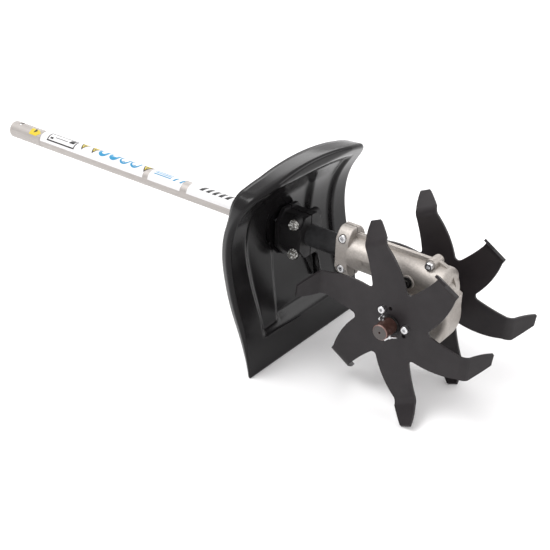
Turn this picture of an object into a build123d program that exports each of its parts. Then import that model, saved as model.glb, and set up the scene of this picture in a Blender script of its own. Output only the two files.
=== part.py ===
from build123d import *
import math
import os

# Mini cultivator attachment for a split-shaft engine unit: a straight drive tube, a worm
# gear case, two six-arm tine wheels and a moulded deflector. Millimetres. While it is being
# modelled the origin is the middle of the axle: +X points forward, away from the user, +Y runs
# along the axle and +Z is up. At the end the whole tool is stood on the ground.

# Worm drive
MODULE = 2.0
WHEEL_TEETH = 34
WORM_PITCH_R = 8.25
WHEEL_PITCH_R = MODULE * WHEEL_TEETH / 2
TUBE_Z = WORM_PITCH_R + WHEEL_PITCH_R
LEAD = math.pi * MODULE
ADDENDUM = 2.0
DEDENDUM = 2.4
FLANK = math.tan(math.radians(20))
THREAD_WIDTH = 2.5
GAP_WIDTH = 3.75
WORM_HALF = 3 * LEAD
WHEEL_FACE = 12.0

# Tube and drive shaft
TUBE_R = 12.7
TUBE_BORE_R = 11.2
TUBE_REAR = -717.0
TUBE_FRONT = -66.0
SHAFT_R = 4.0
MOUTH_DEPTH = 24.0
MOUTH_R = 11.45
GRIP_LENGTH = 67.0
SCRIBE_WIDTH = 0.8
SCRIBE_DEPTH = 0.25
SHAFT_REAR = TUBE_REAR + MOUTH_DEPTH + 1.0
SQUARE = 6.0
SOCKET_X = -58.0
SLEEVE_R = 13.9
LOCATING_HOLE_R = 4.0
LOCATING_HOLE_X = TUBE_REAR + 16.0
LABEL_T = 0.15
LABEL_EDGE_Z = 2.4

# Gear case
DRUM_R = 53.5
CASE_HALF = 20.0
CHEEK_R = 7.0
BARREL_R = 21.0
BARREL_FRONT = 45.0
COLLAR_REAR = -107.0
COLLAR_FRONT = -88.5
COLLAR_HALF_Z = 32.5
COLLAR_HALF_Y = 18.5
CLAMP_PITCH = 20.0
CLAMP_GAP = 0.7
RIB_Z = 26.0
RIB_HALF = 2.6
RIB_STRAIGHT_FRONT = 22.0
CHAMBER_R = 39.0
CHAMBER_HALF = 9.0
BORE_R = 12.5
TOP_SCREW = (18.5, 21.6)
DRUM_SCREWS = ((-34.0, -33.0), (8.0, -47.5))
DOWELS = ((-44.0, 14.0), (41.0, TUBE_Z + 4.0))
SCREW_R = 3.0
HEAD_R = 5.0
HEAD_T = 6.0
PLUG_X = -3.0
PLUG_Z = -3.0
PLUG_SEAT = 22.5

# Bearings, each (bore radius, outer radius, width, inner face)
REAR_BEARING = (6.0, 16.0, 10.0, -38.0)
FRONT_BEARING = (5.0, 13.0, 8.0, 25.0)
AXLE_BEARING = (11.0, 21.0, 12.0, 12.0)
SEAL_OUTER_R = 17.0
SEAL_T = 6.0
RUNNING = 0.04

# Axle and tine wheels
AXLE_R = 9.9
AXLE_SEAT_R = 11.0
AXLE_SEAT_HALF = 40.0
AXLE_HALF = 80.0
PILOT_R = 9.7
PILOT_Y = 71.0
BOSS_R = 27.0
BOSS_HALF = 34.0
PLATE_T = 3.0
PLATE_Y = 53.5
HUB_R = 14.0
HUB_FLANGE_R = 28.0
HUB_FLANGE_T = 4.0
HUB_INNER_Y = 36.0
BOLT_CIRCLE_R = 20.3
BOLT_ANGLES = (125.0, 5.0, -115.0)
SPARE_HOLE_SHIFT = -30.0
PIN_Y = 66.0
PIN_R = 2.0
PIN_ANGLE = 122.0
EYE_SIZE = (10.5, 5.0)

# One tine arm, in polar places measured from the arm's middle line
ARMS = 6
ARM_PHASE = 96.6
NOTCH = (45.0, 30.0)
NOTCH_FILLET = 5.0
TRAILING_MID = (75.0, -9.3)
TRAILING_END = (96.8, 1.4)
LEADING_MID = (72.0, 20.9)
LEADING_END = (90.9, 19.2)
TIP_TRAILING = (131.0, 14.2)
TIP_LEADING = (131.2, 20.6)
BEND_ANGLE = 55.0
BEND_R = 10.0
TIP_FILLET = 1.2
TRAILING_BULGE = 0.4
LEADING_BULGE = 1.2

# Deflector, heights above the ground
GUARD_T = 3.0
GUARD_HALF = 122.0
GUARD_SIDE = (
    (-155.0, 0.0), (-163.5, 58.0), (-179.5, 113.0), (-186.0, 160.0), (-178.5, 200.0), (-150.0, 246.0)
)
GUARD_CORNER_Z = 238.0
GUARD_CORNER_R = 18.0
GUARD_CROWN_Z = 258.0
PANEL_HALF = 82.0
PANEL_LOW_Z = 44.0
PANEL_HIGH_Z = 226.0
PANEL_ARCH = 17.0
PANEL_STEP = 5.0
POCKET_STEP = 11.0
FLANGE_DEPTH = 13.0
TOP_FLANGE_DEPTH = 24.0
SADDLE_X = -192.0
CLAMP_X = (-190.0, -156.0)
CLAMP_HALF_Z = 27.5
CLAMP_EAR_Y = 23.0
CLAMP_BOLT_X = -165.0
CLAMP_BOLT_Z = 20.0


def polar(place, turn=0.0):
    radius, angle = place
    a = math.radians(angle + turn)
    return (radius * math.cos(a), radius * math.sin(a))


def rod_x(x0, x1, r, y=0.0, z=TUBE_Z):
    return Pos((x0 + x1) / 2, y, z) * Rot(0, 90, 0) * Cylinder(r, x1 - x0)


def rod_y(y0, y1, r, x=0.0, z=0.0):
    return Pos(x, (y0 + y1) / 2, z) * Rot(90, 0, 0) * Cylinder(r, y1 - y0)


def block(x0, x1, y0, y1, z0, z1):
    return Pos((x0 + x1) / 2, (y0 + y1) / 2, (z0 + z1) / 2) * Box(x1 - x0, y1 - y0, z1 - z0)


def side_prism(outline, y0, y1):
    """A closed outline in the X-Z plane, made solid from y0 to y1."""
    face = make_face(Plane.XZ * outline)
    return Pos(0, y0, 0) * extrude(face, amount=y1 - y0, dir=(0, 1, 0))


def mirrored(shape):
    return mirror(shape, about=Plane.XZ)


def hexagon_y(across_flats, y0, y1, x, z):
    prism = extrude(RegularPolygon(across_flats / 2, 6, major_radius=False), amount=y1 - y0)
    return Pos(x, y1, z) * Rot(90, 0, 0) * prism


def socket_screw_y(y_head, direction, length, x, z, r=SCREW_R):
    """Socket head cap screw whose head seats at y_head and whose shank runs along direction."""
    head_out = y_head - direction * HEAD_T
    key_end = head_out + direction * 3.2
    shank_end = y_head + direction * length
    head = rod_y(min(y_head, head_out), max(y_head, head_out), HEAD_R, x, z)
    rim = head.edges().filter_by(GeomType.CIRCLE).filter_by(lambda e: abs(e.center().Y - head_out) < 0.01)
    head = chamfer(rim, 0.6)
    shank = rod_y(min(y_head, shank_end), max(y_head, shank_end), r, x, z)
    key = hexagon_y(5.0, min(head_out, key_end), max(head_out, key_end), x, z)
    return head + shank - key


# ---------------------------------------------------------------- tube and drive line

def drive_tube():
    """Aluminium tube. A scribed ring marks how far it goes into the engine unit's coupler."""
    tube = rod_x(TUBE_REAR, TUBE_FRONT, TUBE_R) - rod_x(TUBE_REAR - 1, TUBE_FRONT + 1, TUBE_BORE_R)
    tube -= rod_x(TUBE_REAR - 1, TUBE_REAR + MOUTH_DEPTH, MOUTH_R)
    scribe_x = TUBE_REAR + GRIP_LENGTH
    tube -= ring_x(scribe_x, scribe_x + SCRIBE_WIDTH, TUBE_R - SCRIBE_DEPTH, TUBE_R + 1)
    locating_hole = Pos(LOCATING_HOLE_X, 0, TUBE_Z + TUBE_R) * Cylinder(LOCATING_HOLE_R, 8)
    return tube - locating_hole


def ring_x(x0, x1, inner, outer):
    return rod_x(x0, x1, outer) - rod_x(x0 - 1, x1 + 1, inner)


def shaft_bushes():
    places = (-560.0, -400.0, -240.0)
    return [ring_x(x, x + 18.0, SHAFT_R + RUNNING, TUBE_BORE_R) for x in places]


def end_bush():
    x = SHAFT_REAR + 24.0
    flutes = [Rot(a, 0, 0) * Pos(x + 10, 0, TUBE_BORE_R) * Box(30, 3.0, 4.0) for a in range(0, 360, 60)]
    bush = ring_x(x, x + 20.0, SHAFT_R + RUNNING, TUBE_BORE_R)
    return bush - [Pos(0, 0, TUBE_Z) * flute for flute in flutes]


def drive_shaft():
    square_front = SOCKET_X + 15.5
    rod = rod_x(SHAFT_REAR + 20.0, SOCKET_X - 0.5, SHAFT_R)
    rear_square = Pos(SHAFT_REAR + 11, 0, TUBE_Z) * Box(22, SQUARE, SQUARE)
    front_square = Pos((SOCKET_X - 2 + square_front) / 2, 0, TUBE_Z) * Box(
        square_front - SOCKET_X + 2, SQUARE, SQUARE
    )
    rear_round = rod_x(SHAFT_REAR, SHAFT_REAR + 20.0, SHAFT_R - 0.1)
    front_round = rod_x(SOCKET_X - 2, square_front, SHAFT_R - 0.1)
    return rod + (rear_square & rear_round) + (front_square & front_round)


def worm_thread():
    root = WORM_PITCH_R - DEDENDUM - 0.3
    tip = WORM_PITCH_R + ADDENDUM
    half_root = THREAD_WIDTH / 2 + (WORM_PITCH_R - root) * FLANK
    half_tip = THREAD_WIDTH / 2 - ADDENDUM * FLANK
    path = Helix(LEAD, 2 * WORM_HALF, root)
    section = Plane(origin=path @ 0, x_dir=(1, 0, 0), z_dir=(0, -1, 0)) * Polygon(
        (0, -half_root), (tip - root, -half_tip), (tip - root, half_tip), (0, half_root), align=None
    )
    return sweep(section, path, is_frenet=True)


def worm():
    """Single-start right-hand worm, cut in one piece with its journals and a square drive socket."""
    core = rod_x(-WORM_HALF - 3, WORM_HALF + 3, WORM_PITCH_R - DEDENDUM)
    thread = Pos(-WORM_HALF, 0, TUBE_Z) * Rot(0, 90, 0) * worm_thread()
    rear_end = REAR_BEARING[3] + REAR_BEARING[2]
    journals = [
        rod_x(SOCKET_X, rear_end, REAR_BEARING[0] - RUNNING),
        rod_x(rear_end, -WORM_HALF - 2, 8.0),
        rod_x(WORM_HALF + 2, FRONT_BEARING[3], 7.0),
        rod_x(FRONT_BEARING[3], FRONT_BEARING[3] + FRONT_BEARING[2], FRONT_BEARING[0] - RUNNING),
    ]
    half = SQUARE / 2
    socket = block(SOCKET_X - 1, SOCKET_X + 16, -half, half, TUBE_Z - half, TUBE_Z + half)
    groove = ring_x(REAR_BEARING[3] - 2.0, REAR_BEARING[3] - 0.8, 5.2, 7.0)
    return core + thread + journals - socket - groove


def worm_circlip():
    ring = ring_x(REAR_BEARING[3] - 1.9, REAR_BEARING[3] - 0.9, 5.2, 8.4)
    return ring - block(-40, -30, -1.5, 1.5, TUBE_Z, TUBE_Z + 10)


def sealed_bearing_x(bore_r, outer_r, width, x0):
    """Sealed ball bearing: the seals sit a little below the faces of the rings."""
    ring = ring_x(x0, x0 + width, bore_r, outer_r)
    inner_lip = bore_r + (outer_r - bore_r) * 0.28
    outer_lip = outer_r - (outer_r - bore_r) * 0.28
    for start in (x0 - 1, x0 + width - 0.6):
        ring -= ring_x(start, start + 1.6, inner_lip, outer_lip)
    return ring


def rear_bearing():
    return sealed_bearing_x(*REAR_BEARING)


def front_bearing():
    return sealed_bearing_x(*FRONT_BEARING)


# ---------------------------------------------------------------- gear case

def nose_outline():
    """Side view of the front of the case, from the axle up to the side of the worm barrel."""
    top = TUBE_Z + 9.0
    front = DRUM_R - 2.5
    bluff = Polyline((front, 0), (front, top - 13.0))
    brow = ThreePointArc((front, top - 13.0), (front - 4.0, top - 4.0), (front - 13.0, top))
    return bluff + brow + Polyline((front - 13.0, top), (-36.0, top), (-36.0, 0), (front, 0))


def case_envelope():
    drum = rod_y(0, CASE_HALF, DRUM_R - 1.5)
    drum = fillet(drum.edges().filter_by(lambda e: abs(e.center().Y - CASE_HALF) < 0.01), CHEEK_R)
    nose_half = CASE_HALF - 0.6
    nose = side_prism(nose_outline(), 0.0, nose_half)
    nose = fillet(nose.edges().filter_by(lambda e: e.center().Y > nose_half - 0.01), CHEEK_R)
    barrel = rod_x(COLLAR_FRONT - 1, BARREL_FRONT, BARREL_R)
    barrel = fillet(barrel.edges().filter_by(lambda e: e.center().X > BARREL_FRONT - 0.1), 9.0)
    barrel = barrel & block(-120, 60, 0, 40, 0, 100)
    facet = Pos(BARREL_FRONT + 1, BARREL_R + 1, TUBE_Z + 6) * Rot(0, 0, 45) * Box(17, 40, 40)
    boss = rod_y(0, BOSS_HALF, BOSS_R)
    boss = chamfer(boss.edges().filter_by(lambda e: abs(e.center().Y - BOSS_HALF) < 0.01), 2.0)
    return drum + nose + barrel - facet + boss


def case_collar():
    """Half of the split clamp that grips the tube, thick enough for two cross screws."""
    section = Plane.YZ * Ellipse(COLLAR_HALF_Y + 3.5, COLLAR_HALF_Z + 1.5)
    oval = Pos(COLLAR_REAR, 0, TUBE_Z) * extrude(section, amount=COLLAR_FRONT - COLLAR_REAR)
    collar = oval & block(-120, -80, 0, COLLAR_HALF_Y, TUBE_Z - COLLAR_HALF_Z, TUBE_Z + COLLAR_HALF_Z)
    return fillet(collar.edges().filter_by(lambda e: e.center().Y > 1.0), 1.2)


def case_rib():
    """Narrow rib that stiffens the joint face, from the collar over the barrel and down into the nose."""
    top = TUBE_Z + RIB_Z
    rear = COLLAR_FRONT - 1
    front = DRUM_R - 3.5
    straight = Polyline((rear, TUBE_Z), (rear, top), (RIB_STRAIGHT_FRONT, top))
    brow = ThreePointArc((RIB_STRAIGHT_FRONT, top), (41.0, top - 8.5), (front, TUBE_Z))
    return side_prism(straight + brow + Line((front, TUBE_Z), (rear, TUBE_Z)), 0.0, RIB_HALF)


def screw_places():
    """Side-view place and outer face of each screw that holds the two halves together."""
    collar_x = (COLLAR_REAR + COLLAR_FRONT) / 2
    clamp = [(collar_x, TUBE_Z + s * CLAMP_PITCH, COLLAR_HALF_Y - 6.3) for s in (1, -1)]
    top = [(TOP_SCREW[0], TUBE_Z + TOP_SCREW[1], 9.5)]
    drum = [(x, z, 12.0) for x, z in DRUM_SCREWS]
    return clamp + top + drum


def case_half():
    """The half of the gear case on the +Y side, with its seats for bearings, seal and screws."""
    half = case_envelope() + case_collar() + case_rib()
    for x, z, face in screw_places()[2:]:
        half += rod_y(0, face, 7.0, x, z)
    half -= block(-130, -74, -1, CLAMP_GAP, 0, 100)
    half -= rod_x(-130, TUBE_FRONT, TUBE_R)
    half -= rod_x(TUBE_FRONT - 1, REAR_BEARING[3] + REAR_BEARING[2], REAR_BEARING[1])
    half -= rod_x(-40, FRONT_BEARING[3] + 1, BORE_R)
    half -= rod_x(FRONT_BEARING[3], FRONT_BEARING[3] + FRONT_BEARING[2], FRONT_BEARING[1])
    half -= rod_y(-1, CHAMBER_HALF, CHAMBER_R)
    half -= rod_y(-1, AXLE_BEARING[3] + AXLE_BEARING[2], AXLE_BEARING[1])
    half -= rod_y(0, BOSS_HALF - SEAL_T, AXLE_SEAT_R + 3.0)
    half -= rod_y(BOSS_HALF - SEAL_T, BOSS_HALF + 1, SEAL_OUTER_R)
    for x, z, face in screw_places():
        half -= rod_y(-1, 60, SCREW_R, x, z)
        half -= rod_y(face, 60, HEAD_R + 0.6, x, z)
    for x, z in DOWELS:
        half -= rod_y(-1, 6.2, 2.0, x, z)
    return half


def gear_case_far():
    return case_half()


def gear_case_near():
    """The near half also carries the grease filler and a small round casting mark."""
    half = mirrored(case_half())
    filler = rod_y(-PLUG_SEAT, -10.0, 8.8, PLUG_X, TUBE_Z + PLUG_Z)
    filler = chamfer(filler.edges().filter_by(lambda e: e.center().Y < -PLUG_SEAT + 0.1), 0.8)
    mark = rod_y(-BARREL_R - 0.5, -15.0, 4.5, -70.0, TUBE_Z - 1.0)
    half += filler + mark
    half -= rod_x(-40, 22, BORE_R)
    half -= rod_y(-40, -5, 4.0, PLUG_X, TUBE_Z + PLUG_Z)
    return half


def case_screws():
    """The near side takes the heads. The shanks stop inside the far half."""
    return [socket_screw_y(-face, 1, face + 11.0, x, z) for x, z, face in screw_places()]


def case_dowels():
    return [rod_y(-6, 6, 2.0, x, z) for x, z in DOWELS]


def grease_plug():
    """Hexagon plug with a hexagon socket in its head."""
    y = -PLUG_SEAT - 0.8
    z = TUBE_Z + PLUG_Z
    head = hexagon_y(9.0, y - 4.5, y, PLUG_X, z) + rod_y(y - 1.0, y, 6.0, PLUG_X, z)
    return head + rod_y(y, y + 8.0, 4.0, PLUG_X, z) - hexagon_y(4.5, y - 5.0, y - 1.5, PLUG_X, z)


def plug_washer():
    y = -PLUG_SEAT - 0.8
    z = TUBE_Z + PLUG_Z
    return rod_y(y, y + 0.8, 6.6, PLUG_X, z) - rod_y(y - 1, y + 2, 4.0, PLUG_X, z)


# ---------------------------------------------------------------- axle group

def axle():
    shaft = rod_y(-AXLE_HALF, AXLE_HALF, PILOT_R)
    shaft = chamfer(shaft.edges().filter_by(lambda e: abs(e.center().Y) > AXLE_HALF - 0.01), 1.2)
    shaft += rod_y(-PILOT_Y, PILOT_Y, AXLE_R)
    shaft += rod_y(-AXLE_SEAT_HALF, AXLE_SEAT_HALF, AXLE_SEAT_R - RUNNING)
    for side in (-1, 1):
        shaft -= pin_hole(side)
        shaft -= rod_y(min(side * 81, side * 77.5), max(side * 81, side * 77.5), 1.4)
        shaft -= circlip_groove(side)
    return shaft - wheel_key() - hub_key(1) - hub_key(-1)


def pin_hole(side):
    hole = Rot(0, 90, 0) * Cylinder(PIN_R + 0.2, 40)
    return Pos(0, side * PIN_Y, 0) * Rot(0, -PIN_ANGLE, 0) * hole


def circlip_groove(side):
    y0 = min(side * 57.2, side * 58.4)
    return rod_y(y0, y0 + 1.2, 12) - rod_y(y0 - 1, y0 + 3, AXLE_R - 0.8)


def hub_circlip(side):
    y0 = min(side * 57.3, side * 58.3)
    ring = rod_y(y0, y0 + 1.0, AXLE_R + 2.2) - rod_y(y0 - 1, y0 + 2, AXLE_R - 0.8)
    return ring - block(-1.8, 1.8, y0 - 1, y0 + 2, -15, 0)


def hub_circlips():
    return [hub_circlip(-1), hub_circlip(1)]


def wheel_key():
    return block(-3, 3, -WHEEL_FACE / 2, WHEEL_FACE / 2, AXLE_SEAT_R - 3.5, AXLE_SEAT_R + 2.5)


def hub_key(side):
    return block(-2.5, 2.5, min(side * 42, side * 52), max(side * 42, side * 52), AXLE_R - 3, AXLE_R + 2)


def hub_keys():
    return [hub_key(-1), hub_key(1)]


def worm_wheel():
    """Bronze wheel whose straight tooth gaps are slanted to match the worm's lead."""
    blank_r = WHEEL_PITCH_R + ADDENDUM
    blank = rod_y(-WHEEL_FACE / 2, WHEEL_FACE / 2, blank_r)
    blank = chamfer(blank.edges().filter_by(GeomType.CIRCLE), 0.8)
    for side in (-1, 1):
        rim = rod_y(min(side * 4, side * 10), max(side * 4, side * 10), 29) - rod_y(-12, 12, 17)
        blank -= rim
    slant = math.tan(math.atan2(LEAD / (2 * math.pi), WORM_PITCH_R))
    over = 1.0
    root = WHEEL_PITCH_R - DEDENDUM
    half_root = GAP_WIDTH / 2 - DEDENDUM * FLANK
    half_top = GAP_WIDTH / 2 + (ADDENDUM + over) * FLANK
    start = WHEEL_FACE / 2 + over
    top = blank_r + over
    corners = ((-half_root, root), (half_root, root), (half_top, top), (-half_top, top))
    gap_face = make_face(Polyline(*[(x - slant * start, -start, z) for x, z in corners], close=True))
    gap = extrude(gap_face, amount=2 * start * math.hypot(1, slant), dir=(slant, 1, 0))
    wheel = blank - [Rot(0, i * 360 / WHEEL_TEETH, 0) * gap for i in range(WHEEL_TEETH)]
    return wheel - rod_y(-20, 20, AXLE_SEAT_R - RUNNING) - wheel_key()


def sealed_bearing_y(y0):
    bore_r, outer_r, width = AXLE_BEARING[:3]
    inner_lip = bore_r + 3.0
    outer_lip = outer_r - 3.0
    ring = rod_y(y0, y0 + width, outer_r) - rod_y(y0 - 1, y0 + width + 1, bore_r)
    for edge in (y0 - 1, y0 + width - 0.6):
        ring -= rod_y(edge, edge + 1.6, outer_lip) - rod_y(edge - 1, edge + 3, inner_lip)
    return ring


def axle_bearing(side):
    inner = AXLE_BEARING[3]
    return sealed_bearing_y(inner if side > 0 else -inner - AXLE_BEARING[2])


def axle_seal(side):
    y0 = BOSS_HALF - SEAL_T if side > 0 else -BOSS_HALF
    ring = rod_y(y0, y0 + SEAL_T, SEAL_OUTER_R) - rod_y(y0 - 1, y0 + SEAL_T + 1, AXLE_SEAT_R)
    face = BOSS_HALF - 1.5 if side > 0 else -BOSS_HALF - 1.5
    groove = rod_y(face, face + 3, SEAL_OUTER_R - 1.5) - rod_y(face - 1, face + 4, AXLE_SEAT_R + 1.5)
    return ring - groove


def bolt_places(shift=0.0):
    return [polar((BOLT_CIRCLE_R, angle + shift)) for angle in BOLT_ANGLES]


def wheel_hub(side):
    """Keyed steel hub with the flange that the tine plate is screwed to."""
    hub = rod_y(HUB_INNER_Y, PLATE_Y, HUB_R) + rod_y(PLATE_Y - HUB_FLANGE_T, PLATE_Y, HUB_FLANGE_R)
    hub -= rod_y(0, AXLE_SEAT_HALF, AXLE_SEAT_R - RUNNING) + rod_y(0, 70, AXLE_R)
    for x, z in bolt_places():
        hub -= rod_y(40, 60, SCREW_R, x, z)
    for x, z in bolt_places(SPARE_HOLE_SHIFT):
        hub -= rod_y(40, 60, 2.5, x, z)
    hub -= hub_key(1)
    return hub if side > 0 else mirrored(hub)


def bend_line():
    """The straight line across an arm where its tip is folded, from trailing to leading edge."""
    start = Vector(*polar(TRAILING_END))
    end = Vector(*polar(LEADING_END))
    along = (end - start).normalized()
    return start, end, along


def arm_edges(turn):
    """Both curved edges of one arm, from the notch behind it round to the notch ahead of it."""
    angle, notch_angle = turn, NOTCH[1]
    back = polar((NOTCH[0], -notch_angle), angle)
    ahead = polar((NOTCH[0], notch_angle), angle)
    trailing = ThreePointArc(back, polar(TRAILING_MID, angle), polar(TRAILING_END, angle))
    fold = Line(polar(TRAILING_END, angle), polar(LEADING_END, angle))
    leading = ThreePointArc(polar(LEADING_END, angle), polar(LEADING_MID, angle), ahead)
    return [trailing, fold, leading]


def star_plate():
    """Flat part of a tine wheel, lying in the X-Y plane with its back at z = 0."""
    edges = [edge for i in range(ARMS) for edge in arm_edges(i * 360 / ARMS)]
    face = make_face(Curve() + edges)
    notches = [v for v in face.vertices() if v.center().length < NOTCH[0] + 1]
    face = fillet(notches, NOTCH_FILLET)
    return extrude(face, amount=PLATE_T)


def folded_tip(sign):
    """The bend and the flat blade beyond it, folded to +Z for sign 1 and to -Z for sign -1."""
    start, end, along = bend_line()
    width = (end - start).length
    arm_plane = Plane(origin=(start.X, start.Y, 0), x_dir=(along.X, along.Y, 0), z_dir=(0, 0, -1))
    out_dir = Vector(along.Y, -along.X, 0)
    section = Plane(origin=arm_plane.origin, x_dir=arm_plane.x_dir, z_dir=out_dir)
    strip = section * (Pos(width / 2, PLATE_T / 2) * Rectangle(width, PLATE_T))
    height = PLATE_T + BEND_R if sign > 0 else -BEND_R
    hinge = Axis((start.X, start.Y, height), (along.X, along.Y, 0))
    bend = revolve(strip, axis=hinge, revolution_arc=-sign * BEND_ANGLE)
    blade = extrude(blade_outline(arm_plane, width), amount=PLATE_T, dir=(0, 0, 1))
    return bend + blade.rotate(hinge, -sign * BEND_ANGLE)


def blade_outline(arm_plane, width):
    """Blade face, drawn in the plate's plane straight on from the fold line."""
    tips = [arm_plane.to_local_coords(Vector(*polar(place))) for place in (TIP_TRAILING, TIP_LEADING)]
    setback = (BEND_R + PLATE_T / 2) * math.tan(math.radians(BEND_ANGLE / 2))
    points = [(0, 0), (width, 0)] + [(tip.X, tip.Y - 2 * setback) for tip in reversed(tips)]
    trailing_x = points[3][0] / 2 - TRAILING_BULGE
    leading_x = (width + points[2][0]) / 2 + LEADING_BULGE
    trailing = ThreePointArc(points[3], (trailing_x, points[3][1] / 2), points[0])
    leading = ThreePointArc(points[1], (leading_x, points[2][1] / 2), points[2])
    ends = [Line(points[0], points[1]), Line(points[2], points[3])]
    face = make_face(Curve() + [ends[0], leading, ends[1], trailing])
    corners = [v for v in face.vertices() if v.Y > 20]
    return arm_plane * fillet(corners, TIP_FILLET)


def tine_wheel(side):
    """Pressed steel tine wheel. Every other tip is folded outwards, the rest inwards."""
    wheel = star_plate()
    for i in range(ARMS):
        sign = 1 if i % 2 else -1
        wheel += Rot(0, 0, -i * 360 / ARMS) * folded_tip(sign)
    wheel -= Cylinder(AXLE_R + 0.2, 20)
    for x, y in bolt_places(-ARM_PHASE):
        wheel -= Pos(x, y, 0) * Cylinder(SCREW_R + 0.2, 20)
    for x, y in bolt_places(SPARE_HOLE_SHIFT - ARM_PHASE):
        wheel -= Pos(x, y, 0) * Cylinder(2.5, 20)
    upright = Rot(90, 0, 0) * Rot(0, 0, ARM_PHASE) * wheel
    y = -PLATE_Y if side < 0 else PLATE_Y + PLATE_T
    return Pos(0, y, 0) * upright


def hub_screws(side):
    """Three flanged screws whose heads sit on the outside of the tine plate."""
    screws = []
    face = PLATE_Y + PLATE_T
    for x, z in bolt_places():
        head = rod_y(face, face + 4.6, 4.6, x, z)
        head = fillet(head.edges().filter_by(lambda e: e.center().Y > face + 4.5), 1.2)
        screw = head + rod_y(face - 6.0, face, SCREW_R, x, z) - hexagon_y(4.0, face + 1.8, face + 6, x, z)
        screws.append(screw if side > 0 else mirrored(screw))
    return screws


def cotter_pin(side):
    """Split pin through the axle: an eye at one end, both legs bent apart at the other."""
    leg_end = -AXLE_R - 3.5
    leg_top = AXLE_R + 1.2
    leg = Pos(0, 0, (leg_end + leg_top) / 2) * Cylinder(PIN_R - 0.1, leg_top - leg_end)
    loop = SlotOverall(*EYE_SIZE) - SlotOverall(EYE_SIZE[0] - 3.6, EYE_SIZE[1] - 3.6)
    eye = fillet(extrude(Plane.YZ * loop, amount=1.1, both=True).edges(), 0.5)
    pin = leg + Pos(0, 0, AXLE_R + 0.5 + EYE_SIZE[1] / 2) * eye
    for out in (-1, 1):
        pin += Pos(out * 4.6, 0, leg_end + 0.6) * Rot(0, 90 + out * 12, 0) * Cylinder(1.2, 9.2)
    tilt = Rot(0, 90 - PIN_ANGLE, 0)
    return Pos(0, side * PIN_Y, 0) * tilt * pin


# ---------------------------------------------------------------- deflector

def guard_line(shift):
    """Side view of the shell's front skin, moved back by shift, down to the ground line."""
    return Spline(*[(x - shift, z) for x, z in GUARD_SIDE])


def behind(shift, half):
    """Everything behind the front skin moved back by shift, between -half and half."""
    line = guard_line(shift)
    top = line @ 1
    bottom = line @ 0
    back = -320.0
    over = top.Y + 24
    frame = Polyline(top, (top.X + 12, over), (back, over), (back, bottom.Y), bottom)
    return side_prism(line + frame, -half, half)


def face_on_prism(face, x0=-330.0, x1=-100.0):
    """A flat face drawn in Y and Z, made solid along X."""
    return Pos(x0, 0, 0) * extrude(Plane.YZ * face, amount=x1 - x0, dir=(1, 0, 0))


def guard_outline(inset=0.0):
    half = GUARD_HALF - inset
    corner = GUARD_CORNER_Z - inset
    arch = ThreePointArc((-half, corner), (0, GUARD_CROWN_Z - inset), (half, corner))
    face = make_face(arch + Polyline((half, corner), (half, 0), (-half, 0), (-half, corner)))
    return fillet([v for v in face.vertices() if v.Y > 100], GUARD_CORNER_R - inset)


def panel_outline(grow):
    half = PANEL_HALF + grow
    low = PANEL_LOW_Z - grow
    high = PANEL_HIGH_Z + grow
    top = ThreePointArc((-half, high), (0, high + PANEL_ARCH), (half, high))
    return make_face(top + Polyline((half, high), (half, low), (-half, low), (-half, high)))


def pocket_outline(grow):
    """Recess behind the clamp: spreading towards the ground, wide at the clamp, narrow at the top."""
    side = [(53.0, 50.0 - grow), (37.0, 137.0), (46.0, 152.0), (46.0, 190.0), (30.0, 232.0 + grow)]
    right = [(y + grow, z) for y, z in side]
    left = [(-y, z) for y, z in reversed(right)]
    return Polygon(*right, *left, align=None)


def stepped_solid(back, grow):
    """Ground under the skin: the rim, the panel set into it and the pocket set into the panel."""
    wide = GUARD_HALF + 1
    rim = behind(back, wide) - face_on_prism(panel_outline(grow))
    panel = behind(back + PANEL_STEP, wide) - face_on_prism(pocket_outline(grow))
    return rim + panel + behind(back + POCKET_STEP, wide)


def guard_flange():
    """Rim turned back along the top and both sides, fading out towards the bottom edge."""
    ring = face_on_prism(guard_outline()) - face_on_prism(guard_outline(GUARD_T))
    ring -= block(-330, -100, -GUARD_HALF + GUARD_T, GUARD_HALF - GUARD_T, -5, 120)
    deep = behind(0.0, GUARD_HALF) - behind(FLANGE_DEPTH, GUARD_HALF + 1)
    rear = [(-157, -1), (-181.5, 70), (-230, 110), (-230, 300)]
    kept = Polyline(*rear, (-100, 300), (-100, -1), close=True)
    side_part = ring & deep & side_prism(kept, -GUARD_HALF - 1, GUARD_HALF + 1)
    top_part = ring & (behind(0.0, GUARD_HALF) - behind(TOP_FLANGE_DEPTH, GUARD_HALF + 1))
    return side_part + (top_part & block(-330, -100, -GUARD_HALF, GUARD_HALF, 212, 300))


def guard_shell(ground):
    """Moulded deflector, drawn with heights above the ground and lowered to the axle's origin."""
    skin = (stepped_solid(0.0, 0.0) - stepped_solid(GUARD_T, GUARD_T)) & face_on_prism(guard_outline())
    shell = skin + guard_flange()
    saddle = extrude(fillet(Rectangle(60, 68).vertices(), 12.0), amount=9.0)
    shell += Pos(SADDLE_X, 0, TUBE_Z + ground) * Rot(0, -90, 0) * Rot(0, 0, 90) * saddle
    shell -= rod_x(-330, -100, SLEEVE_R, 0, TUBE_Z + ground)
    for y, z in guard_screw_places():
        shell -= rod_x(-330, -100, 2.5, y, z + ground)
    return Pos(0, 0, -ground) * shell


def guard_screw_places():
    return [(y, TUBE_Z + z) for y in (-18.0, 18.0) for z in (-14.0, 14.0)]


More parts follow.
